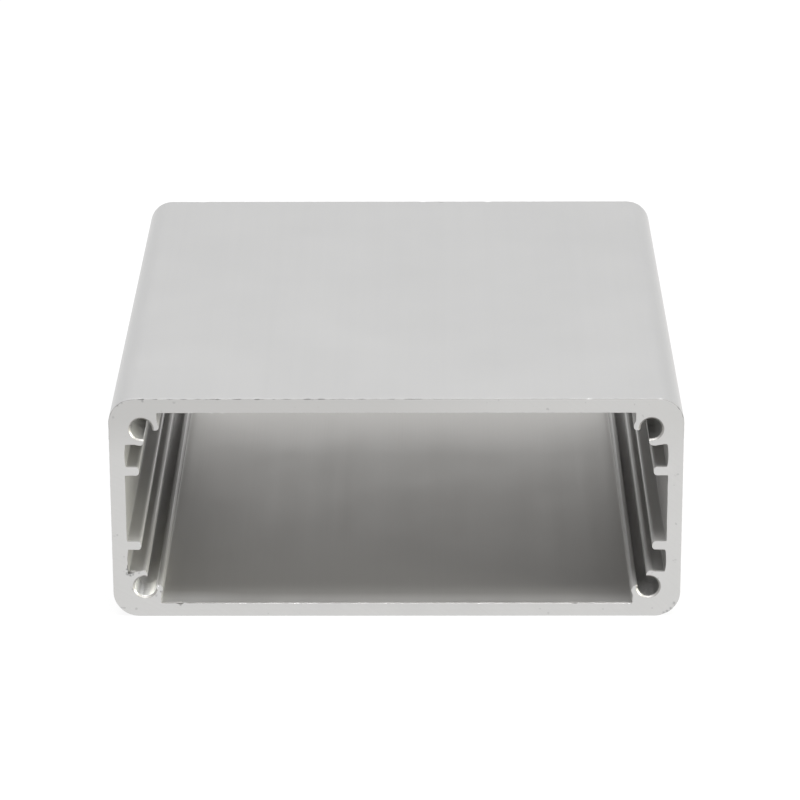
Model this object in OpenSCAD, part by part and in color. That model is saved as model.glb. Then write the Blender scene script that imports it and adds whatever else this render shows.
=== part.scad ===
// Extruded aluminium enclosure: one length of tube, cut square and open at both ends.
// The section carries four screw ports in its corners and a board slot in each side,
// above and below the middle channel.
// X is the width, Y the extrusion axis and Z up. The origin is the centre of the base.

/* [Body] */
// Outside width
body_w = 66; // [30:0.5:200]
// Outside height
body_h = 27; // [23:0.5:120]
// Length that the extrusion is cut to
body_l = 75; // [20:1:400]
// Thickness of the two side walls
side_wall = 1.75; // [1:0.05:2.2]
// Thickness of the top and bottom walls
flat_wall = 1.7; // [1:0.05:2.2]
// Radius of the four long outside corners
corner_r = 3; // [0.5:0.1:3.5]

/* [Screw ports] */
// Bore of each screw port
port_d = 2.5; // [2:0.05:3]
// From the side face to the axis of the port
port_side = 3.75; // [3.7:0.05:6]
// From the top or bottom face to the axis of the port
port_face = 3.7; // [3.7:0.05:5]
// Wall between the port and the cavity at the root of the hanging web
web_root = 0.55; // [0.4:0.05:0.75]
// Wall between the port and the board slot at the root of the lip
lip_root = 0.65; // [0.4:0.05:0.75]
// Wall of the round swell that follows the port towards both tips
swell_wall = 0.8; // [0.8:0.05:1.2]
// How far the web runs past the axis of the port
web_reach = 0.15; // [0:0.05:0.5]
// How far the lip runs past the axis of the port
lip_reach = 0.25; // [0:0.05:0.5]
// Rounding of the outer corner of both tips
tip_r = 0.3; // [0.1:0.05:0.4]
// Countersink width at the mouth of each port
mouth_chamfer = 0.2; // [0.05:0.05:0.3]

/* [Board guides] */
// Clear height of each board slot
slot_h = 2.75; // [1.7:0.05:3]
// Hollow of the back of the board slot, from its corners to its middle
slot_bow = 0.13; // [0.05:0.01:0.3]
// Thickness of each guide rib
rib_t = 1.05; // [0.9:0.05:1.2]
// How far each guide rib stands out from the side wall
rib_reach = 1.65; // [0.8:0.05:3]
// Rounding of the two corners at the tip of a rib
rib_tip_r = 0.4; // [0.1:0.05:0.4]

/* [Hidden] */
$fn = 96;
// Overrun of a cut past the face it goes through
over = 0.5;
port_r = port_d / 2;
swell_r = port_r + swell_wall;
// Straight faces of the port block, from the side face and from the top or bottom face
web_face = port_side + port_r + web_root;
lip_face = port_face + port_r + lip_root;
// Outer and inner faces of a guide rib, from the top or bottom face
rib_outer = lip_face + slot_h;
rib_inner = rib_outer + rib_t;
// Radius of the arc that hollows the back of a board slot
slot_arc_r = (pow(slot_h / 2, 2) + pow(slot_bow, 2)) / (2 * slot_bow);

// Puts its children in all four corners of the section. In the children's own frame,
// x runs inward from the side face and y runs inward from the top or bottom face.
module each_corner() {
    for (flip_x = [0, 1])
        for (flip_y = [0, 1])
            mirror([flip_x, 0])
                mirror([0, flip_y])
                    translate([-body_w / 2, -body_h / 2])
                        children();
}

// Rectangle with round corners, centred
module rounded_rectangle(w, h, r) {
    square([w, h - 2 * r], center = true);
    square([w - 2 * r, h], center = true);
    for (side = [-1, 1])
        for (end = [-1, 1])
            translate([side * (w / 2 - r), end * (h / 2 - r)])
                circle(r = r);
}

// One arm of the C that holds a port. It starts at the wall, runs along y with a straight
// face that swells round the port, and ends past the axis in a tip with a round outer corner.
// axis is the port's axis, face the straight face and reach the tip's run past the axis.
module port_arm(axis, face, reach) {
    tip_y = reach - tip_r;
    tip_x = sqrt(pow(swell_r - tip_r, 2) - pow(tip_y, 2));
    // Along the ray from the port's axis through the tip's centre, the swell turns into the tip
    ray = [tip_x, tip_y] * (2 * swell_r / tip_x);
    translate(axis) {
        intersection() {
            union() {
                translate(-axis)
                    square([face, axis.y + reach]);
                circle(r = swell_r);
            }
            polygon([[0, 0], ray, [ray.x, -axis.y], [-axis.x, -axis.y], [-axis.x, 0]]);
        }
        translate([tip_x, tip_y])
            circle(r = tip_r);
        polygon([[0, 0], [tip_x, tip_y], [tip_x, reach], [0, reach]]);
    }
}

// Metal round a screw port: the web that hangs from the flat wall, the lip that stands
// out from the side wall, and the corner that joins them
module port_block() {
    square([port_side, port_face]);
    port_arm([port_side, port_face], web_face, web_reach);
    mirror([1, -1])
        port_arm([port_face, port_side], lip_face, lip_reach);
}

// Guide rib between a board slot and the middle channel
module guide_rib() {
    tip = side_wall + rib_reach;
    translate([0, rib_outer])
        square([tip - rib_tip_r, rib_t]);
    translate([0, rib_outer + rib_tip_r])
        square([tip, rib_t - 2 * rib_tip_r]);
    for (edge = [rib_outer + rib_tip_r, rib_inner - rib_tip_r])
        translate([tip - rib_tip_r, edge])
            circle(r = rib_tip_r);
}

// Extra wall behind a board slot. It runs into the lip and the rib, where their metal covers it.
module slot_back() {
    translate([0, lip_face - over])
        square([side_wall + 2 * slot_bow, slot_h + 2 * over]);
}

// Hollow that leaves that wall thinnest at the middle of the slot
module slot_hollow() {
    intersection() {
        translate([0, lip_face])
            square([side_wall + 2 * slot_bow + over, slot_h]);
        translate([side_wall + slot_arc_r, lip_face + slot_h / 2])
            circle(r = slot_arc_r, $fn = 4 * $fn);
    }
}

// Cross-section of the extrusion, centred
module section() {
    difference() {
        rounded_rectangle(body_w, body_h, corner_r);
        difference() {
            square([body_w - 2 * side_wall, body_h - 2 * flat_wall], center = true);
            each_corner() {
                port_block();
                slot_back();
                guide_rib();
            }
        }
        each_corner() {
            slot_hollow();
            translate([port_side, port_face])
                circle(r = port_r);
        }
    }
}

// Countersinks at both mouths of the four ports
module port_mouths() {
    each_corner()
        translate([port_side, port_face])
            for (end = [0, 1])
                mirror([0, 0, end])
                    translate([0, 0, body_l / 2 - mouth_chamfer])
                        cylinder(h = mouth_chamfer + over, r1 = port_r, r2 = port_r + mouth_chamfer + over);
}

// The whole enclosure: one extrusion, cut square
module extruded_body() {
    color([0.80, 0.80, 0.79])
        translate([0, 0, body_h / 2])
            rotate([90, 0, 0])
                difference() {
                    linear_extrude(height = body_l, center = true)
                        section();
                    port_mouths();
                }
}

extruded_body();
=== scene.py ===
import bmesh
import bpy
import math
import random
from mathutils import Matrix, Vector, noise


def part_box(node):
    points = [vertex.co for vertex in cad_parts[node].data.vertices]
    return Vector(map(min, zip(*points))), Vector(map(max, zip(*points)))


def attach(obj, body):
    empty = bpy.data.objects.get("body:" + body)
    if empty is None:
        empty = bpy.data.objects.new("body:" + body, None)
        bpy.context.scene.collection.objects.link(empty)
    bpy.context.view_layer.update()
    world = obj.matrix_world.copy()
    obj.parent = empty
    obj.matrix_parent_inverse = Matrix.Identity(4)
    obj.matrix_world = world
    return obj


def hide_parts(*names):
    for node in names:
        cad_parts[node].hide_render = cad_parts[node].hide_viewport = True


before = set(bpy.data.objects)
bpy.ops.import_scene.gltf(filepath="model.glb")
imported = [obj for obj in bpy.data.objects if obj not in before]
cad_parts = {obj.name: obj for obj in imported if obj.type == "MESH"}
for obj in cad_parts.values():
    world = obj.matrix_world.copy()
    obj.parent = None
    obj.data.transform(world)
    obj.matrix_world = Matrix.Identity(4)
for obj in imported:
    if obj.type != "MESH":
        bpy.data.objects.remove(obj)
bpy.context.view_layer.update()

# The body is made in millimetres and scaled to metres at the end.
MM = 0.001
LOW, HIGH = [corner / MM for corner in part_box("extruded_body")]
MID_X, _, MID_Z = (HIGH - LOW) / 2

# Sizes of the section, in one corner's own frame: x runs inward from the side face and y from
# the top or bottom face.
SIDE_WALL = 1.75
FLAT_WALL = 1.7
CORNER_R = 3.0

# The screw port's axis and bore, and the wall of the swell round it
PORT_SIDE = 3.75
PORT_FACE = 3.7
PORT = Vector((PORT_SIDE, PORT_FACE))
PORT_R = 1.25
SWELL_R = PORT_R + 0.8

# Straight faces of the web and the lip that hold the port, how far both run past its axis, and
# the rounding of their tips
WEB_FACE = PORT_SIDE + PORT_R + 0.55
LIP_FACE = PORT_FACE + PORT_R + 0.65
WEB_REACH = 0.15
LIP_REACH = 0.25
WEB_TIP_R = 0.4
LIP_TIP_R = 0.5

# The board slot runs from the lip to the guide rib, and its back is hollowed by the bow
SLOT_TOP = LIP_FACE + 2.75
SLOT_BOW = 0.13
RIB_TOP = SLOT_TOP + 1.05
RIB_TIP = SIDE_WALL + 1.65
RIB_R = 0.4

# The die's radius where two straight walls meet, and the longest straight run left in one piece
DIE_R = 0.1
LONGEST_RUN = 0.26

# Degrees that one facet of a round stretch turns
CORNER_STEP = 5
RIB_STEP = 11
SLOT_STEP = 2
SWELL_STEP = 6
TIP_STEP = 12
BORE_STEP = 5.5

# Points this close together are one point, and points this close to a line lie on it
SAME = 1e-4
NEAR = 0.01


# ---------------------------------------------------------------- the section


def points(parts):
    """The points among what an operator made."""
    return [part for part in parts if isinstance(part, bmesh.types.BMVert)]


class Outline:
    """A line drawn round a section, in the plane of x and z, in millimetres."""

    def __init__(self, bm, x, z):
        self.bm = bm
        self.first = bm.verts.new((x, 0, z))
        self.last = self.first

    def line(self, x, z):
        """Runs straight to a point."""
        made = bmesh.ops.extrude_vert_indiv(self.bm, verts=[self.last])
        self.last = made["verts"][0]
        self.last.co = Vector((x, 0, z))

    def bend(self, centre, degrees, step):
        """Turns round a centre in steps of so many degrees; anticlockwise is positive."""
        made = bmesh.ops.spin(
            self.bm,
            geom=[self.last],
            cent=(centre[0], 0, centre[1]),
            axis=(0, -1, 0),
            angle=math.radians(degrees),
            steps=max(2, round(abs(degrees) / step)),
        )
        self.last = points(made["geom_last"])[0]

    def close(self):
        """Joins the ends and fills the outline with one face."""
        bmesh.ops.contextual_create(self.bm, geom=[self.last, self.first])
        bmesh.ops.contextual_create(self.bm, geom=self.bm.edges[:])


def angle_to(across, along):
    """The angle of a line, in degrees from the first direction towards the second."""
    return math.degrees(math.atan2(along, across))


def arm_angles(face, reach, tip_r):
    """Where the swell leaves an arm's straight face and where it turns into the tip, in degrees
    from the line through the port that is square to the arm, and how far out from the port the
    tip's centre lies."""
    tip_low = reach - tip_r
    tip_out = math.sqrt((SWELL_R - tip_r) ** 2 - tip_low ** 2)
    leaves = angle_to(face, -math.sqrt(SWELL_R ** 2 - face ** 2))
    return leaves, angle_to(tip_out, tip_low), tip_out


def draw_outside(pen):
    pen.line(CORNER_R, 0)
    pen.bend((CORNER_R, CORNER_R), -90, CORNER_STEP)
    pen.line(0, MID_Z)


def draw_rib(pen):
    pen.line(SIDE_WALL, RIB_TOP)
    pen.line(RIB_TIP - RIB_R, RIB_TOP)
    pen.bend((RIB_TIP - RIB_R, RIB_TOP - RIB_R), -90, RIB_STEP)
    pen.line(RIB_TIP, SLOT_TOP + RIB_R)
    pen.bend((RIB_TIP - RIB_R, SLOT_TOP + RIB_R), -90, RIB_STEP)
    pen.line(SIDE_WALL + SLOT_BOW, SLOT_TOP)


def draw_slot_back(pen):
    half = (SLOT_TOP - LIP_FACE) / 2
    radius = (half ** 2 + SLOT_BOW ** 2) / (2 * SLOT_BOW)
    turn = math.degrees(2 * math.asin(half / radius))
    pen.bend((SIDE_WALL + radius, LIP_FACE + half), turn, SLOT_STEP)


def draw_lip(pen):
    face = LIP_FACE - PORT.y
    leaves, turns, tip_out = arm_angles(face, LIP_REACH, LIP_TIP_R)
    pen.line(PORT.x - math.sqrt(SWELL_R ** 2 - face ** 2), LIP_FACE)
    pen.bend(PORT, leaves - turns, SWELL_STEP)
    pen.bend((PORT.x + LIP_REACH - LIP_TIP_R, PORT.y + tip_out), turns - 90, TIP_STEP)
    pen.line(PORT.x + LIP_REACH, PORT.y + math.sqrt(PORT_R ** 2 - LIP_REACH ** 2))


def draw_bore(pen):
    lip_end = math.degrees(math.acos(LIP_REACH / PORT_R))
    web_end = math.degrees(math.asin(WEB_REACH / PORT_R))
    pen.bend(PORT, 360 + web_end - lip_end, BORE_STEP)


def draw_web(pen):
    face = WEB_FACE - PORT.x
    leaves, turns, tip_out = arm_angles(face, WEB_REACH, WEB_TIP_R)
    pen.line(PORT.x + tip_out, PORT.y + WEB_REACH)
    pen.bend((PORT.x + tip_out, PORT.y + WEB_REACH - WEB_TIP_R), turns - 90, TIP_STEP)
    pen.bend(PORT, leaves - turns, SWELL_STEP)
    pen.line(WEB_FACE, FLAT_WALL)


def soften_corners(bm):
    """The die leaves a small radius where two straight walls meet."""
    sharp = []
    for vert in bm.verts:
        on_middle = vert.co.x > MID_X - NEAR or vert.co.z > MID_Z - NEAR
        one, two = [edge.other_vert(vert).co - vert.co for edge in vert.link_edges]
        if not on_middle and one.angle(two) < math.radians(140):
            sharp.append(vert)
    bmesh.ops.bevel(
        bm, geom=sharp, offset=DIE_R, offset_type="OFFSET", segments=3, profile=0.5,
        affect="VERTICES", material=-1, clamp_overlap=True,
    )


def divide_runs(bm):
    """Cuts the straight runs short, so that their ends can be nicked."""
    for edge in bm.edges[:]:
        cuts = int(edge.calc_length() / LONGEST_RUN)
        if cuts:
            bmesh.ops.subdivide_edges(bm, edges=[edge], cuts=cuts)


def quarter_section(bm):
    """The lower left quarter of the section."""
    pen = Outline(bm, MID_X, 0)
    draw_outside(pen)
    pen.line(SIDE_WALL, MID_Z)
    draw_rib(pen)
    draw_slot_back(pen)
    draw_lip(pen)
    draw_bore(pen)
    draw_web(pen)
    pen.line(MID_X, FLAT_WALL)
    pen.close()
    soften_corners(bm)
    divide_runs(bm)


def whole_section(bm):
    """Four quarters of the section, mirrored and joined, centred across the body's front end."""
    quarter_section(bm)
    bmesh.ops.translate(bm, vec=(-MID_X, 0, -MID_Z), verts=bm.verts)
    for axis in "XZ":
        whole = bm.verts[:] + bm.edges[:] + bm.faces[:]
        bmesh.ops.mirror(bm, geom=whole, axis=axis, merge_dist=SAME)
    bmesh.ops.remove_doubles(bm, verts=bm.verts, dist=SAME)
    bmesh.ops.translate(bm, vec=(0, LOW.y, MID_Z + LOW.z), verts=bm.verts)


# ---------------------------------------------------------------- the body

# How far in from each end face the rings lie, close together where the rim gets its nicks
RING_DEPTHS = (0.1, 0.2, 0.325, 0.575, 1.2, 5.2, 12.0, 24.0)

# The rims: the flat that breaks each edge, and the narrow band beside it on the end face
EDGE_BREAK = 0.04
CAP_BAND = 0.055

# The port mouths: the cone's depth, and how far out from the bore it moves the metal
MOUTH_CHAMFER = 0.2
MOUTH_REACH = 0.35

# The thread in the ports: where it starts and ends, and how fast it deepens and runs out
THREAD_PITCH = 0.5
THREAD_DEPTH = 0.11
THREAD_START = 0.15
THREAD_RUN = 5.2
THREAD_LEAD_IN = 0.3
THREAD_RUN_OUT = 1.5
CUTS_A_TURN = 4

# How far off a surface the middle of one of its faces may lie, and a point off the bore
OFF_SURFACE = 0.05
OFF_BORE = 0.004

# Finishes, in the order of the body's material slots
SKIN, INSIDE, GUIDES, SAWN, CUT = range(5)


def extrude_section(bm):
    """Runs the section from the front end to the rear one, ring by ring."""
    front = [LOW.y + depth for depth in RING_DEPTHS]
    rear = [HIGH.y - depth for depth in reversed(RING_DEPTHS)]
    here = LOW.y
    faces = bm.faces[:]
    for there in front + rear + [HIGH.y]:
        made = bmesh.ops.extrude_face_region(bm, geom=faces)["geom"]
        if here > LOW.y:
            bmesh.ops.delete(bm, geom=faces, context="FACES")
        faces = [part for part in made if isinstance(part, bmesh.types.BMFace)]
        bmesh.ops.translate(bm, vec=(0, there - here, 0), verts=points(made))
        here = there
    bmesh.ops.recalc_face_normals(bm, faces=bm.faces)


def end_depth(co):
    """How far a point lies inside the nearer end face."""
    return min(co.y - LOW.y, HIGH.y - co.y)


def skin_depth(co):
    """How far a point lies under the outside of the body."""
    across = max(abs(co.x) - (MID_X - CORNER_R), 0)
    up = max(abs(co.z - LOW.z - MID_Z) - (MID_Z - CORNER_R), 0)
    return CORNER_R - math.hypot(across, up)


def corner_place(co):
    """A point in its corner's own frame, as the sizes of the section are."""
    return Vector((MID_X - abs(co.x), MID_Z - abs(co.z - LOW.z - MID_Z)))


def name_faces(bm):
    """Gives each face the finish of the surface that it belongs to."""
    for face in bm.faces:
        middle = face.calc_center_median()
        if abs(face.normal.y) > 0.9:
            face.material_index = SAWN
        elif skin_depth(middle) < OFF_SURFACE:
            face.material_index = SKIN
        elif skin_depth(middle) < FLAT_WALL + OFF_SURFACE and corner_place(middle).x > WEB_FACE:
            face.material_index = INSIDE
        else:
            face.material_index = GUIDES


def break_rims(bm):
    """A narrow band inside each rim, and the rim's sharp edge taken off."""
    caps = [face for face in bm.faces if face.material_index == SAWN]
    bmesh.ops.inset_region(
        bm, faces=caps, thickness=CAP_BAND, depth=0, use_boundary=True, use_even_offset=True,
    )
    rims = []
    for edge in bm.edges:
        on_end = all(end_depth(vert.co) < SAME for vert in edge.verts)
        if on_end and any(face.material_index != SAWN for face in edge.link_faces):
            rims.append(edge)
    made = bmesh.ops.bevel(
        bm, geom=rims, offset=EDGE_BREAK, offset_type="OFFSET", segments=2, profile=0.5,
        affect="EDGES", material=-1, clamp_overlap=True,
    )
    for face in made["faces"]:
        face.material_index = SAWN


def port_offset(co):
    """From the axis of the nearest port to a point, in its corner's own frame."""
    return corner_place(co) - PORT


def on_bore(vert):
    """True for a point on the wall of a port."""
    return abs(port_offset(vert.co).length - PORT_R) < OFF_BORE


def in_thread(co):
    """True at the depths where a port has its thread."""
    return MOUTH_CHAMFER < end_depth(co) < THREAD_RUN


def move_from_port(vert, gain):
    """Moves a point away from the axis of its port."""
    offset = port_offset(vert.co)
    shift = offset * (gain / offset.length)
    vert.co.x -= shift.x * math.copysign(1, vert.co.x)
    vert.co.z -= shift.y * math.copysign(1, vert.co.z - LOW.z - MID_Z)


def thread_relief(co):
    """Depth of the thread that the end screws form."""
    offset = port_offset(co)
    turn = math.atan2(offset.y, offset.x) / math.tau
    phase = (end_depth(co) / THREAD_PITCH + turn) * math.tau
    run_out = (THREAD_RUN - end_depth(co)) / THREAD_RUN_OUT
    lead_in = (end_depth(co) - THREAD_START) / THREAD_LEAD_IN
    return THREAD_DEPTH * max(0, min(1, run_out, lead_in)) * (0.5 - 0.5 * math.cos(phase))


def cut_threads(bm):
    """A fine shallow thread in both ends of the four ports."""
    strips = {}
    for face in bm.faces:
        if in_thread(face.calc_center_median()) and all(on_bore(vert) for vert in face.verts):
            for edge in face.edges:
                one, two = edge.verts
                cuts = round(edge.calc_length() / THREAD_PITCH * CUTS_A_TURN) - 1
                if cuts and abs(one.co.y - two.co.y) > NEAR:
                    strips.setdefault(cuts, {})[edge] = True
    for cuts, edges in strips.items():
        bmesh.ops.subdivide_edges(bm, edges=list(edges), cuts=cuts, use_grid_fill=True)
    for vert in bm.verts:
        if in_thread(vert.co) and on_bore(vert):
            move_from_port(vert, thread_relief(vert.co))


def countersink_ports(bm):
    """Opens both mouths of each port to a small cone, and eases the metal beside it."""
    for vert in bm.verts:
        lift = MOUTH_CHAMFER - end_depth(vert.co)
        share = 1 - (port_offset(vert.co).length - PORT_R) / MOUTH_REACH
        if lift > 0 and share > 0:
            move_from_port(vert, lift * min(share, 1))
    for face in bm.faces:
        middle = face.calc_center_median()
        in_cone = port_offset(middle).length < PORT_R + MOUTH_CHAMFER + NEAR
        if in_cone and end_depth(middle) < MOUTH_CHAMFER:
            face.material_index = CUT


# ---------------------------------------------------------------- handling marks, painted light and painted shade

# A mark's shade is above 0 for dirt and painted shade, and below 0 for bare bright metal and
# painted light.

# Knocks on the front rim: across, up, reach, how deep the metal is pushed in, shade
FRONT_KNOCKS = (
    (-31.8, 26.1, 0.5, 0.04, 0.2),
    (-30.3, 26.9, 0.5, 0.03, 0.1),
    (-29.4, 26.97, 0.3, 0.03, 0.5),
    (-29.0, 26.9, 0.3, 0.05, 1.0),
    (-27.5, 26.97, 0.25, 0.03, 0.5),
    (-25.9, 26.97, 0.25, 0.03, 0.2),
    (-25.35, 26.4, 0.3, 0.0, 0.3),
    (-23.8, 26.97, 0.7, 0.02, 0.1),
    (-21.9, 26.97, 0.35, 0.02, 0.3),
    (-20.4, 26.97, 0.3, 0.05, 0.8),
    (-17.9, 26.97, 0.3, 0.02, 0.4),
    (-15.9, 26.97, 0.3, 0.05, 0.9),
    (-14.0, 26.97, 0.25, 0.02, 0.4),
    (-10.1, 26.97, 0.5, 0.03, 0.6),
    (-8.6, 26.97, 0.6, 0.01, 0.4),
    (-6.3, 26.97, 0.7, 0.01, 0.25),
    (22.0, 26.95, 0.3, 0.03, -0.9),
    (30.2, 26.9, 0.25, 0.03, -0.6),
    (32.4, 25.9, 0.3, 0.06, 0.6),
    (32.85, 24.9, 0.35, 0.04, 0.5),
    (32.3, 17.7, 0.3, 0.0, 0.5),
    (32.25, 1.58, 0.3, 0.04, 1.0),
    (32.5, 1.1, 0.35, 0.03, -0.6),
    (31.6, 0.6, 0.35, 0.03, 0.8),
    (31.15, 0.15, 0.3, 0.04, 0.5),
    (-32.5, 10.15, 0.35, 0.0, 0.5),
    (-32.9, 23.5, 0.4, 0.02, 0.3),
)

# Burrs and dents on the inner rims of the front end: across, up, reach, sideways, upward, shade
FRONT_BURRS = (
    (-31.2, 5.45, 0.55, -0.1, -0.4, 1.2),
    (-31.3, 6.2, 0.3, -0.1, 0.0, 0.9),
    (-30.6, 5.5, 0.4, 0.0, -0.2, 0.5),
    (-30.1, 5.7, 0.3, 0.0, -0.08, -0.7),
    (-29.85, 5.45, 0.2, 0.0, 0.05, 0.6),
    (-29.3, 5.75, 0.3, 0.0, 0.06, -0.6),
    (-29.0, 5.3, 0.3, 0.06, -0.06, -0.7),
    (-29.4, 4.9, 0.3, 0.0, 0.07, 0.5),
    (-27.75, 3.7, 0.5, 0.0, -0.08, -0.8),
    (-27.35, 3.15, 0.3, 0.08, 0.0, 0.6),
    (-27.45, 2.6, 0.35, 0.06, 0.0, -0.5),
    (-25.2, 1.7, 0.4, 0.0, -0.14, 0.9),
    (-24.7, 1.7, 0.25, 0.0, 0.07, -0.8),
    (20.8, 1.7, 0.35, 0.0, -0.05, 0.5),
    (29.3, 21.75, 0.3, -0.06, -0.05, 0.1),
    (30.0, 21.3, 0.4, 0.0, -0.12, 0.2),
    (30.9, 21.4, 0.35, 0.0, 0.07, 0.7),
    (31.1, 21.4, 0.2, 0.0, -0.06, 0.3),
    (27.3, 3.6, 0.45, 0.16, -0.1, -0.3),
    (-23.6, 25.3, 0.3, 0.0, -0.05, -0.7),
    (-21.2, 25.3, 0.35, 0.0, -0.04, -0.6),
    (-19.9, 25.3, 0.3, 0.0, -0.03, -0.5),
    (29.0, 18.2, 0.3, 0.05, 0.04, 0.5),
)

REAR_KNOCKS = 22

# The same knocks and rims each time: without a seed, noise_vector takes one from the clock
SEED = 7

# A face with more corners than this is the broad flat part of an end
BROAD_FACE = 60

# The strips next to the outer and inner rims that knocks and burrs can reach: depth from the
# end, and depth under the skin
KNOCK_DEPTH = 0.8
KNOCK_WIDTH = 0.7
BURR_DEPTH = 0.5
BURR_START = 0.4

# Painted light and shade inside the ports, for left or right and lower or upper, and how far in
# they fade out
PORT_LIGHT_AND_SHADE = {(-1, -1): -0.95, (-1, 1): -0.5, (1, 1): 0.6, (1, -1): 0.75}
PORT_FADE = 12
# Painted shade in the lower right slot, and how far in it fades out
PAINTED_SLOT_SHADE = 0.45
SLOT_FADE = 16

# How far in from the front the rim band reaches, where the floor's painted light ends, and where
# the painted highlight lines change
RIM_BAND = 0.07
FLOOR_LIGHT_DEPTH = 1.3
HIGHLIGHT_CHANGE = 24


def rear_knocks(dice):
    """A few small knocks at random places round the rim of the rear end."""
    knocks = []
    for _ in range(REAR_KNOCKS):
        along = dice.uniform(-1, 1)
        side = dice.choice("tblr")
        across = along * 32 if side in "tb" else math.copysign(32.95, dice.uniform(-1, 1))
        up = {"t": 26.95, "b": 0.05}.get(side, MID_Z + along * 11)
        reach = dice.uniform(0.25, 0.6)
        depth = dice.uniform(0.02, 0.1)
        knocks.append((across, up, reach, depth, dice.uniform(-0.4, 1)))
    return knocks


def inward(co):
    """Straight into the metal from the nearest point of the outside."""
    across = max(abs(co.x) - (MID_X - CORNER_R), 0) * math.copysign(1, co.x)
    up = co.z - LOW.z - MID_Z
    up = max(abs(up) - (MID_Z - CORNER_R), 0) * math.copysign(1, up)
    return Vector((-across, 0, -up)).normalized()


def ramp(value, start, end):
    """0 at the start, 1 at the end and beyond it, and a straight line between."""
    return min(1, max(0, (value - start) / (end - start)))


def mark(vert, shade, amount):
    """Shades a point, unless the broad flat face of an end would carry the shade right across."""
    if not any(len(face.verts) > BROAD_FACE for face in vert.link_faces):
        vert[shade] += amount


def knock_rims(bm, shade):
    """Pushes the outer rims in where they were knocked and shades the marks."""
    ends = ((LOW.y, FRONT_KNOCKS), (HIGH.y, rear_knocks(random.Random(SEED))))
    near = []
    for vert in bm.verts:
        if end_depth(vert.co) < KNOCK_DEPTH and skin_depth(vert.co) < KNOCK_WIDTH:
            near.append(vert)
    for end, knocks in ends:
        for across, up, reach, depth, dark in knocks:
            centre = Vector((across, end, up + LOW.z))
            for vert in near:
                share = 1 - (vert.co - centre).length / reach
                if share > 0:
                    vert.co += inward(vert.co) * depth * share ** 0.7
                    mark(vert, shade, dark * min(1, share * 2))


def burr_rims(bm, shade):
    """Small burrs and dents where the saw left the inner rims of the front end."""
    near = []
    for vert in bm.verts:
        if vert.co.y - LOW.y < BURR_DEPTH and skin_depth(vert.co) > BURR_START:
            near.append(vert)
    for across, up, reach, sideways, upward, dark in FRONT_BURRS:
        centre = Vector((across, LOW.y, up + LOW.z))
        for vert in near:
            share = 1 - (vert.co - centre).length / reach
            if share > 0:
                vert.co += Vector((sideways, 0, upward)) * share
                mark(vert, shade, dark * min(1, share * 2))


def waver_inner_rim(vert, reach):
    """Shifts a point near an inner rim, in long and short waves."""
    drift = noise.noise_vector(Vector((vert.co.x, vert.co.y * 0.4, vert.co.z)) * 1.9)
    fine = noise.noise_vector(vert.co * 5.1)
    shift = (drift * 0.03 + fine * 0.015) * (1 - end_depth(vert.co) / reach)
    vert.co += Vector((shift.x, 0, shift.z))


def dent_outer_rim(vert, reach):
    """Pushes a point near an outer rim in a little, in long and short waves."""
    dent = abs(noise.noise(vert.co * 1.3)) * 0.03 + abs(noise.noise(vert.co * 4.3)) * 0.02
    vert.co += inward(vert.co) * dent * (1 - end_depth(vert.co) / reach)


def roughen_rims(bm, inner_reach=0.5, outer_reach=0.3, outer_width=0.6):
    """The saw leaves no rim quite straight."""
    noise.seed_set(SEED)
    for vert in bm.verts:
        depth = end_depth(vert.co)
        if depth < inner_reach and skin_depth(vert.co) > outer_width:
            waver_inner_rim(vert, inner_reach)
        elif depth < outer_reach:
            dent_outer_rim(vert, outer_reach)


def paint_port_light_and_shade(bm, shade):
    """Painted light and shade: the left ports are painted bright inside and the right ones dark,
    fading out deeper in.
    """
    for vert in bm.verts:
        depth = end_depth(vert.co)
        in_port = port_offset(vert.co).length < PORT_R + THREAD_DEPTH + 0.02
        if in_port and depth > MOUTH_CHAMFER + NEAR:
            side = math.copysign(1, vert.co.x), math.copysign(1, vert.co.z - LOW.z - MID_Z)
            vert[shade] += PORT_LIGHT_AND_SHADE[side] * max(0, 1 - depth / PORT_FADE)


def paint_slot_shade(bm, shade):
    """Painted shade: darkens the lower right board slot towards its ends, and the outside of the
    right wall beside it as well.
    """
    for vert in bm.verts:
        depth = end_depth(vert.co)
        place = corner_place(vert.co)
        in_slot = LIP_FACE - OFF_SURFACE < place.y < SLOT_TOP and place.x < RIB_TIP
        if in_slot and vert.co.x > 0 and vert.co.z - LOW.z < MID_Z:
            vert[shade] += PAINTED_SLOT_SHADE * ramp(depth, 0, 0.3) * max(0, 1 - depth / SLOT_FADE)


def soil_rim(bm, shade):
    """Dirt along the top of the front rim: dashes on the left, and a faint line on the right."""
    for vert in bm.verts:
        on_rim = vert.co.y - LOW.y < RIM_BAND and skin_depth(vert.co) < 0.08
        if on_rim and vert.co.z - LOW.z > 22:
            dashes = noise.noise(Vector((vert.co.x * 0.9, 3.1, vert.co.z * 0.9)))
            left = ramp(vert.co.x, 9, 1)
            mark(vert, shade, 0.52 - 0.1 * left + left * max(0, dashes))


def ease_floor_rim_and_paint_light(bm, shade):
    """The floor's front rim is eased and darkened with painted shade, and its first millimetre is
    brightened with painted light, more on the left.
    """
    for vert in bm.verts:
        depth = vert.co.y - LOW.y
        place = corner_place(vert.co)
        near_floor = vert.co.z - LOW.z < MID_Z and abs(place.y - FLAT_WALL) < 0.15
        if near_floor and place.x > WEB_FACE and depth < FLOOR_LIGHT_DEPTH:
            vert.co.z -= 0.08 * max(0, 1 - depth / 0.35)
            left = ramp(vert.co.x, -18, -24)
            painted_light = -(0.34 + 0.2 * left) * ramp(depth, 0, 0.3)
            mark(vert, shade, 0.3 + 0.4 * left if depth < RIM_BAND else painted_light)


def towards(degrees, reach):
    """A step in a corner's own frame, turned from x towards y."""
    turn = math.radians(degrees)
    return Vector((math.cos(turn), math.sin(turn))) * reach


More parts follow.
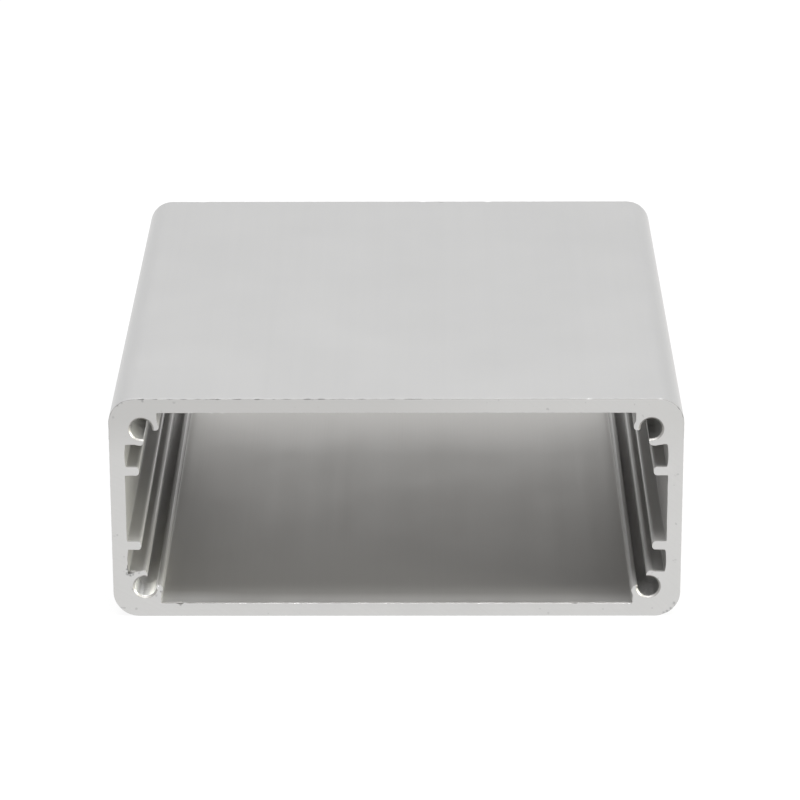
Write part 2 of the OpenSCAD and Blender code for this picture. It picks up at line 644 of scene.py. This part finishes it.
def painted_highlight_lines():
    """Lines along the section that are painted bright as highlights on the rounded tips and the
    bore edges: where each one runs, how wide it is, and how bright it is at the front end and far
    inside."""
    web_out = arm_angles(WEB_FACE - PORT.x, WEB_REACH, WEB_TIP_R)[2]
    lip_out = arm_angles(LIP_FACE - PORT.y, LIP_REACH, LIP_TIP_R)[2]
    rib_over = Vector((RIB_TIP - RIB_R, RIB_TOP - RIB_R))
    rib_under = Vector((RIB_TIP - RIB_R, SLOT_TOP + RIB_R))
    web_tip = PORT + Vector((web_out, WEB_REACH - WEB_TIP_R))
    lip_tip = PORT + Vector((LIP_REACH - LIP_TIP_R, lip_out))
    lip_bore = PORT + Vector((LIP_REACH, math.sqrt(PORT_R ** 2 - LIP_REACH ** 2)))
    web_bore = PORT + Vector((math.sqrt(PORT_R ** 2 - WEB_REACH ** 2), WEB_REACH))
    return (
        (rib_over + towards(34, RIB_R), 0.06, 0.55, 0.8),
        (rib_under + towards(-34, RIB_R), 0.06, 0.5, 0.6),
        (lip_tip + towards(47, LIP_TIP_R), 0.12, 0.05, 0.38),
        (web_tip + towards(68, WEB_TIP_R), 0.1, 0.25, 0.4),
        (lip_bore, 0.06, 0.4, 0.6),
        (web_bore, 0.06, 0.4, 0.6),
    )


def paint_edge_highlights(bm, shade):
    """Paints the thin highlight lines along the section."""
    for place, wide, near, far in painted_highlight_lines():
        for vert in bm.verts:
            if (corner_place(vert.co) - place).length < wide:
                share = near + (far - near) * ramp(vert.co.y, LOW.y, LOW.y + HIGHLIGHT_CHANGE)
                waver = 1 + 0.5 * noise.noise(vert.co * 0.35)
                mark(vert, shade, -share * waver * ramp(end_depth(vert.co), 0, 0.4))


def mark_creases(bm, sharpest=34, square_on=0.999):
    """Shades curves smoothly, and keeps corners crisp and the end faces flat."""
    for face in bm.faces:
        face.smooth = True
    for edge in bm.edges:
        on_end = [abs(face.normal.y) > square_on for face in edge.link_faces]
        edge.smooth = on_end.count(True) != 1 and edge.calc_face_angle(0) < math.radians(sharpest)


def make_body(finishes):
    """The enclosure, in one piece."""
    bm = bmesh.new()
    whole_section(bm)
    extrude_section(bm)
    name_faces(bm)
    break_rims(bm)
    cut_threads(bm)
    countersink_ports(bm)
    shade = bm.verts.layers.float.new("wear_and_light")
    knock_rims(bm, shade)
    burr_rims(bm, shade)
    roughen_rims(bm)
    # The ports, the lower right slot, the floor's front and thin lines along the section get
    # painted light and painted shade in this layer
    paint_port_light_and_shade(bm, shade)
    paint_slot_shade(bm, shade)
    soil_rim(bm, shade)
    ease_floor_rim_and_paint_light(bm, shade)
    paint_edge_highlights(bm, shade)
    bmesh.ops.scale(bm, vec=(MM, MM, MM), verts=bm.verts)
    bm.normal_update()
    mark_creases(bm)
    mesh = bpy.data.meshes.new("enclosure")
    bm.to_mesh(mesh)
    bm.free()
    body = bpy.data.objects.new("enclosure", mesh)
    bpy.context.scene.collection.objects.link(body)
    for finish in finishes:
        mesh.materials.append(finish)
    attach(body, "root")
    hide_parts("extruded_body")


# ---------------------------------------------------------------- finishes


class Link:
    """A shader socket. An expression written with it adds its Math nodes to the finish."""

    def __init__(self, finish, socket):
        self.finish = finish
        self.socket = socket

    def math(self, operation, *values):
        return self.finish.node("ShaderNodeMath", {"operation": operation}, dict(enumerate(values)))

    def __add__(self, other):
        return self.math("ADD", self, other)

    def __radd__(self, other):
        return self.math("ADD", other, self)

    def __sub__(self, other):
        return self.math("SUBTRACT", self, other)

    def __rsub__(self, other):
        return self.math("SUBTRACT", other, self)

    def __mul__(self, other):
        return self.math("MULTIPLY", self, other)

    def __rmul__(self, other):
        return self.math("MULTIPLY", other, self)

    def swing(self, amount):
        """How far a noise lies from its middle, times an amount."""
        return (self - 0.5) * amount

    def clipped(self):
        """Held between 0 and 1."""
        return self.finish.node("ShaderNodeClamp", inputs={0: self})

    def above(self, low, high):
        """0 below low, 1 above high and a straight ramp between."""
        span = {"From Min": low, "From Max": high}
        return self.finish.node("ShaderNodeMapRange", inputs={"Value": self, **span})


class Finish:
    """A material with one shader, and one way to add any other node to it."""

    def __init__(self, name, **values):
        self.material = bpy.data.materials.new(name)
        self.material.use_nodes = True
        self.tree = self.material.node_tree
        self.shader = self.tree.nodes["Principled BSDF"]
        for socket, value in values.items():
            self.shader.inputs[socket.replace("_", " ").title()].default_value = value
        self.places = self.node("ShaderNodeTexCoord", output="Object")

    def node(self, kind, settings=None, inputs=None, output=0):
        """Adds a node: its settings first, then its sockets' values or links."""
        made = self.tree.nodes.new(kind)
        for name, value in (settings or {}).items():
            setattr(made, name, value)
        for key, value in (inputs or {}).items():
            self.feed(made.inputs[key], value)
        return Link(self, made.outputs[output])

    def feed(self, socket, value):
        if isinstance(value, Link):
            self.tree.links.new(value.socket, socket)
        else:
            socket.default_value = value

    def drive(self, name, value):
        """Feeds one of the shader's own sockets."""
        self.feed(self.shader.inputs[name], value)

    def axes(self):
        """How far across, along and up a place lies, each by itself."""
        place = {0: self.places}
        return [self.node("ShaderNodeSeparateXYZ", inputs=place, output=name) for name in "XYZ"]

    def stretched(self, x, y, z):
        """The place on the body with its three directions scaled."""
        by = {0: self.places, 1: (x, y, z)}
        return self.node("ShaderNodeVectorMath", {"operation": "MULTIPLY"}, by)

    def away_from(self, across, up):
        """How far a place lies from a line that runs along the body, in metres."""
        ends = {0: self.stretched(1, 0, 1), 1: (across, 0, up)}
        return self.node("ShaderNodeVectorMath", {"operation": "DISTANCE"}, ends, output="Value")

    def noise(self, place, scale, detail=2.0, roughness=0.5):
        sockets = {"Vector": place, "Scale": scale, "Detail": detail, "Roughness": roughness}
        return self.node("ShaderNodeTexNoise", inputs=sockets)

    def blend(self, share, one, other):
        """A colour between two others."""
        sockets = {0: share, 6: one, 7: other}
        return self.node("ShaderNodeMix", {"data_type": "RGBA"}, sockets, output=2)

    def relief(self, height, distance):
        """Fine relief, so many metres deep at a height of 1."""
        sockets = {"Height": height, "Distance": distance, "Strength": 1.0}
        self.drive("Normal", self.node("ShaderNodeBump", inputs=sockets))

    def wear_and_light(self):
        """The marks' shade: above 0 for dirt and painted shade, and below 0 for bare bright metal
        and painted light.
        """
        return self.node("ShaderNodeAttribute", {"attribute_name": "wear_and_light"}, output="Fac")


def grey(level, warmth=0.0):
    """A linear grey with a little more red and less blue as warmth rises."""
    return (level * (1 + warmth), level, level * (1 - warmth * 1.6), 1)


def apply_wear_and_light(finish, base, rough):
    """Dark dirt in the dents and bright metal on the burrs, together with the painted shade and
    painted highlights that the same layer carries, over the finish's own look.
    """
    wear_and_light = finish.wear_and_light()
    dark = wear_and_light.above(0.15, 1.0)
    bright = (wear_and_light * -1).above(0.2, 0.9)
    base = finish.blend(dark * 0.85, base, grey(0.05, 0.02))
    base = finish.blend(bright, base, grey(0.92))
    finish.drive("Base Color", base)
    finish.drive("Roughness", rough + dark * 0.2 - bright * 0.15)


def matt_skin():
    """Outside: evenly matt, with a fine grain, faint die lines and a soft mottle."""
    finish = Finish("matt_skin", metallic=1.0)
    mottle = finish.noise(finish.places, 70, 3.0, 0.55)
    patches = finish.noise(finish.places, 260, 2.0, 0.5)
    lines = finish.noise(finish.stretched(1, 0.012, 1), 900, 4.0, 0.6)
    grain = finish.noise(finish.places, 7000, 2.0, 0.6)
    shade = mottle.swing(0.35) + patches.swing(0.15) + lines.swing(0.3) + 0.5
    base = finish.blend(shade.clipped(), grey(0.455, 0.0), grey(0.52, 0.004))
    apply_wear_and_light(finish, base, 0.32 + mottle.swing(0.06) + grain.swing(0.08))
    finish.relief(grain * 0.6 + lines * 0.8, 0.00001)
    return finish.material


def drawn_metal(name, metallic, low, high, rough):
    """As it left the die, with long fine lines."""
    finish = Finish(name, metallic=metallic)
    broad = finish.noise(finish.stretched(1, 0.02, 1), 420, 3.0, 0.6)
    lines = finish.noise(finish.stretched(1, 0.006, 1), 2600, 4.0, 0.65)
    cloud = finish.noise(finish.places, 90, 3.0, 0.55)
    grain = finish.noise(finish.places, 6000, 2.0, 0.6)
    shade = broad.swing(0.4) + lines.swing(0.3) + cloud.swing(0.4) + 0.5
    base = finish.blend(shade.clipped(), low, high)
    apply_wear_and_light(finish, base, rough + cloud.swing(0.1) + broad.swing(0.08))
    finish.relief(lines + broad * 0.6 + grain * 0.3, 0.000012)
    return finish.material


def flat_inside():
    """The inner faces of the top and bottom walls."""
    return drawn_metal("flat_inside", 0.95, grey(0.40, 0.018), grey(0.465, 0.018), 0.5)


def guide_metal():
    """The side walls with their ribs, the webs and the ports: a little rougher."""
    return drawn_metal("guide_metal", 0.8, grey(0.44, 0.012), grey(0.51, 0.012), 0.55)


# The middle of the saw's arcs on the end faces: across and up, in metres
SAW_HUB = (-0.11, -0.15)

# Smudges and chips on the front end: across, up, radius, how dark
STAINS = (
    (-32.7, 10.1, 0.16, 0.6),
    (-32.35, 10.2, 0.16, 0.6),
    (32.15, 17.63, 0.2, 0.5),
    (32.42, 17.74, 0.16, 0.5),
    (32.25, 1.6, 0.26, 0.9),
    (32.45, 1.25, 0.2, 0.7),
    (31.9, 0.95, 0.24, 0.7),
    (31.5, 0.6, 0.24, 0.7),
    (31.1, 0.38, 0.24, 0.6),
    (17.65, 0.35, 0.2, 0.4),
    (-29.0, 26.75, 0.2, 0.9),
    (-31.4, 26.55, 0.2, 0.6),
    (-31.9, 26.2, 0.2, 0.6),
    (-32.4, 24.8, 0.2, 0.5),
    (-25.39, 26.6, 0.22, 0.5),
    (-26.82, 25.5, 0.18, 0.4),
    (-27.46, 3.1, 0.2, 0.9),
    (-28.0, 2.6, 0.22, 0.5),
    (-29.95, 5.45, 0.18, 0.8),
    (-31.35, 5.9, 0.2, 0.9),
    (-31.3, 5.35, 0.3, 1.0),
    (-30.95, 5.15, 0.25, 1.0),
    (-30.65, 5.25, 0.18, 0.8),
    (-30.72, 3.4, 0.2, 0.6),
    (-25.2, 1.4, 0.2, 0.9),
)


def stains(finish):
    """How much the smudges darken the end face."""
    total = 0
    for across, up, radius, dark in STAINS:
        away = finish.away_from(across * MM, (up + LOW.z) * MM)
        total = total + (away * -1).above(-radius * MM, 0) * dark
    broken = finish.noise(finish.places, 3500, 2.0, 0.6).above(0.3, 0.55)
    return total * broken * front_share(finish)


def front_share(finish):
    """1 on the front half of the body."""
    return (finish.axes()[1] * -1).above(0, 0.01)


def top_band_darkening(finish):
    """A darker stretch of the front end along its top wall, strongest from the left to past the
    middle."""
    across, _, up = finish.axes()
    drift = finish.noise(finish.places, 110, 2.0, 0.5).swing(0.008)
    left = (across * -1 + drift).above(-0.014, 0.001)
    high = (up + drift * 0.5).above(0.0195, 0.0245)
    return (left * 0.6 + 0.4) * high * front_share(finish)


def sawn_face():
    """The two ends: saw marks in wide arcs, with a few darker specks."""
    finish = Finish("sawn_face", metallic=1.0)
    radius = finish.away_from(*SAW_HUB)
    sockets = {"W": radius, "Scale": 3200, "Detail": 3.0}
    arcs = finish.node("ShaderNodeTexNoise", {"noise_dimensions": "1D"}, sockets)
    cloud = finish.noise(finish.places, 160, 3.0, 0.6)
    specks = finish.noise(finish.places, 1500, 1.0, 0.5).above(0.74, 0.8)
    shade = arcs.swing(0.3) + cloud.swing(0.5) + 0.5
    base = finish.blend(shade.clipped(), grey(0.545, 0.006), grey(0.63, 0.008))
    base = finish.blend(top_band_darkening(finish) * 0.85, base, grey(0.505, 0.01))
    base = finish.blend((specks * 0.3 + stains(finish)).clipped(), base, grey(0.2))
    apply_wear_and_light(finish, base, 0.34 + cloud.swing(0.1))
    finish.relief(arcs + cloud * 0.5, 0.000008)
    return finish.material


def cut_metal():
    """The port mouths: freshly cut and bright."""
    finish = Finish("cut_metal", metallic=1.0)
    rings = finish.noise(finish.places, 5000, 2.0, 0.5)
    base = finish.blend(rings, grey(0.34, 0.02), grey(0.43, 0.02))
    apply_wear_and_light(finish, base, 0.5 + rings.swing(0.1))
    finish.relief(rings, 0.000006)
    return finish.material


# ---------------------------------------------------------------- studio

# Lengths in the studio are in metres.
FLOOR_REACH = 3
AIM = Vector((0, 0, 0.013))

# Soft boxes: name, place, width, height, radiance, colour
LAMPS = (
    ("front_box", (0.75, -0.35, 0.45), 0.4, 0.4, 2.2, (1, 1, 1)),
    ("top_box", (0.0, -0.13, 0.88), 0.9, 0.22, 14.0, (1, 1, 1)),
    ("high_box", (0.0, 0.56, 0.67), 0.9, 0.3, 1.55, (1, 1, 1)),
    ("right_box", (0.95, -0.28, 0.25), 0.5, 0.5, 12.5, (1, 1, 0.86)),
)

# The camera's place, its pitch, yaw and roll in degrees, and its lens in millimetres
CAMERA_PLACE = (0.00319, -0.45207, 0.18125)
CAMERA_TURN = (20.423, -0.379, -0.183)
CAMERA_LENS = 174.23
CAMERA_SENSOR = 36


def seen_share(tree):
    """1 for a ray that shows the background, seen straight, mirrored or through glass."""
    path = tree.nodes.new("ShaderNodeLightPath")
    share = path.outputs["Is Camera Ray"]
    for name in ("Is Glossy Ray", "Is Transmission Ray"):
        both = tree.nodes.new("ShaderNodeMath")
        both.operation = "MAXIMUM"
        tree.links.new(share, both.inputs[0])
        tree.links.new(path.outputs[name], both.inputs[1])
        share = both.outputs[0]
    return share


def white_world(level):
    """White all round where it is seen, and a plain level of light elsewhere."""
    world = bpy.data.worlds.new("studio")
    bpy.context.scene.world = world
    world.use_nodes = True
    tree = world.node_tree
    strength = tree.nodes.new("ShaderNodeMapRange")
    tree.links.new(seen_share(tree), strength.inputs["Value"])
    strength.inputs["To Min"].default_value = level
    strength.inputs["To Max"].default_value = 1.0
    back = tree.nodes["Background"]
    back.inputs["Color"].default_value = (1, 1, 1, 1)
    tree.links.new(strength.outputs[0], back.inputs["Strength"])


def floor_paper(hold):
    """White paper: hold is the share of plain white in what a seen ray gets, the rest is lit."""
    paper = bpy.data.materials.new("floor_paper")
    paper.use_nodes = True
    tree = paper.node_tree
    tree.nodes.clear()
    lit = tree.nodes.new("ShaderNodeBsdfDiffuse")
    lit.inputs["Color"].default_value = (0.93, 0.93, 0.93, 1)
    plain = tree.nodes.new("ShaderNodeEmission")
    scaled = tree.nodes.new("ShaderNodeMath")
    scaled.operation = "MULTIPLY"
    scaled.inputs[1].default_value = hold
    tree.links.new(seen_share(tree), scaled.inputs[0])
    mix = tree.nodes.new("ShaderNodeMixShader")
    tree.links.new(scaled.outputs[0], mix.inputs["Fac"])
    tree.links.new(lit.outputs[0], mix.inputs[1])
    tree.links.new(plain.outputs[0], mix.inputs[2])
    out = tree.nodes.new("ShaderNodeOutputMaterial")
    tree.links.new(mix.outputs[0], out.inputs["Surface"])
    return paper


def lay_floor():
    """A wide sheet of paper under the body."""
    bm = bmesh.new()
    bmesh.ops.create_grid(bm, x_segments=1, y_segments=1, size=FLOOR_REACH)
    mesh = bpy.data.meshes.new("floor")
    bm.to_mesh(mesh)
    bm.free()
    mesh.materials.append(floor_paper(hold=0.9))
    floor = bpy.data.objects.new("floor", mesh)
    bpy.context.scene.collection.objects.link(floor)


def soft_lamp(name, place, wide, high, radiance, colour):
    """A soft box that faces the body. Its power follows from its size and radiance."""
    lamp = bpy.data.lights.new(name, "AREA")
    lamp.shape = "RECTANGLE"
    lamp.size = wide
    lamp.size_y = high
    lamp.energy = radiance * math.pi * wide * high
    lamp.color = colour
    box = bpy.data.objects.new(name, lamp)
    box.location = place
    box.rotation_euler = (AIM - box.location).to_track_quat("-Z", "Y").to_euler()
    bpy.context.scene.collection.objects.link(box)


def place_camera():
    """Stands in front of the open end and looks down into it."""
    pitch, yaw, roll = [math.radians(angle) for angle in CAMERA_TURN]
    heading = math.sin(yaw), math.cos(yaw)
    ahead = Vector((heading[0] * math.cos(pitch), heading[1] * math.cos(pitch), -math.sin(pitch)))
    level = Vector((heading[1], -heading[0], 0))
    right = level * math.cos(roll) + level.cross(ahead) * math.sin(roll)
    turned = Matrix((right, right.cross(ahead), -ahead)).transposed()
    lens = bpy.data.cameras.new("camera")
    lens.sensor_width = CAMERA_SENSOR
    lens.lens = CAMERA_LENS
    lens.clip_end = 20
    camera = bpy.data.objects.new("camera", lens)
    camera.matrix_world = Matrix.Translation(CAMERA_PLACE) @ turned.to_4x4()
    bpy.context.scene.collection.objects.link(camera)
    bpy.context.scene.camera = camera


# ---------------------------------------------------------------- the scene

make_body([matt_skin(), flat_inside(), guide_metal(), sawn_face(), cut_metal()])
lay_floor()
white_world(level=0.6)
for lamp in LAMPS:
    soft_lamp(*lamp)
place_camera()
bpy.context.scene.view_settings.view_transform = "Standard"
